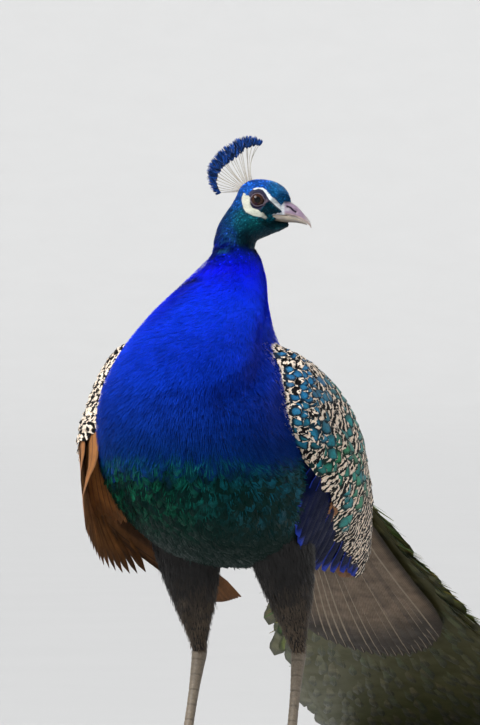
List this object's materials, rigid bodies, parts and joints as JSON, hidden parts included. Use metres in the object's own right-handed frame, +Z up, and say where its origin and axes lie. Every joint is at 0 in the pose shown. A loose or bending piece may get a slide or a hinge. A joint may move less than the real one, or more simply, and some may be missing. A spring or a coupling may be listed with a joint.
{
  "type": "indian peafowl cock model",
  "caption": "Life-size still model of an Indian peafowl cock standing on both feet, head turned to its left, its long folded train resting on the floor behind.",
  "frame": {"origin": "centre of the bird's bounding box on the floor that its feet and train rest on", "axes": "+X to the bird's left, +Y from the breast back along the train, +Z up; the breast faces -Y and the bill points to +X"},
  "size_m": [0.3446, 1.6918, 0.73],
  "materials": {
    "blue_plumage": "iridescent, soft sheen",
    "green_plumage": "iridescent, soft sheen",
    "barred_plumage": "soft, cream barred with black and blue-green",
    "chestnut_plumage": "soft, matte",
    "train_plumage": "iridescent green and bronze",
    "dark_plumage": "soft, blue-black",
    "horn": "satin, smooth",
    "eye": "wet gloss",
    "leg_scales": "scaly, matte"
  },
  "bodies": {
    "root": {"breast": "blue_plumage", "neck_lower": "blue_plumage", "neck_middle": "blue_plumage", "neck_upper": "blue_plumage", "head": "blue_plumage", "trunk": "green_plumage", "rump": "green_plumage", "upper_bill": "horn", "lower_bill": "horn", "crest": "blue_plumage", "left_eye": "eye", "left_wing_coverts": "barred_plumage", "left_wing_secondaries": "dark_plumage", "left_wing_primaries": "chestnut_plumage", "left_thigh": "dark_plumage", "left_shank": "leg_scales", "left_foot": "leg_scales", "left_spur": "horn", "left_inner_claw": "horn", "left_middle_claw": "horn", "left_outer_claw": "horn", "left_hind_claw": "horn", "right_eye": "eye", "right_wing_coverts": "barred_plumage", "right_wing_secondaries": "dark_plumage", "right_wing_primaries": "chestnut_plumage", "right_thigh": "dark_plumage", "right_shank": "leg_scales", "right_foot": "leg_scales", "right_spur": "horn", "right_inner_claw": "horn", "right_middle_claw": "horn", "right_outer_claw": "horn", "right_hind_claw": "horn", "train_base": "train_plumage", "train_upper": "train_plumage", "train_middle": "train_plumage", "train_end": "train_plumage", "tail": "dark_plumage"}
  },
  "joints": []
}
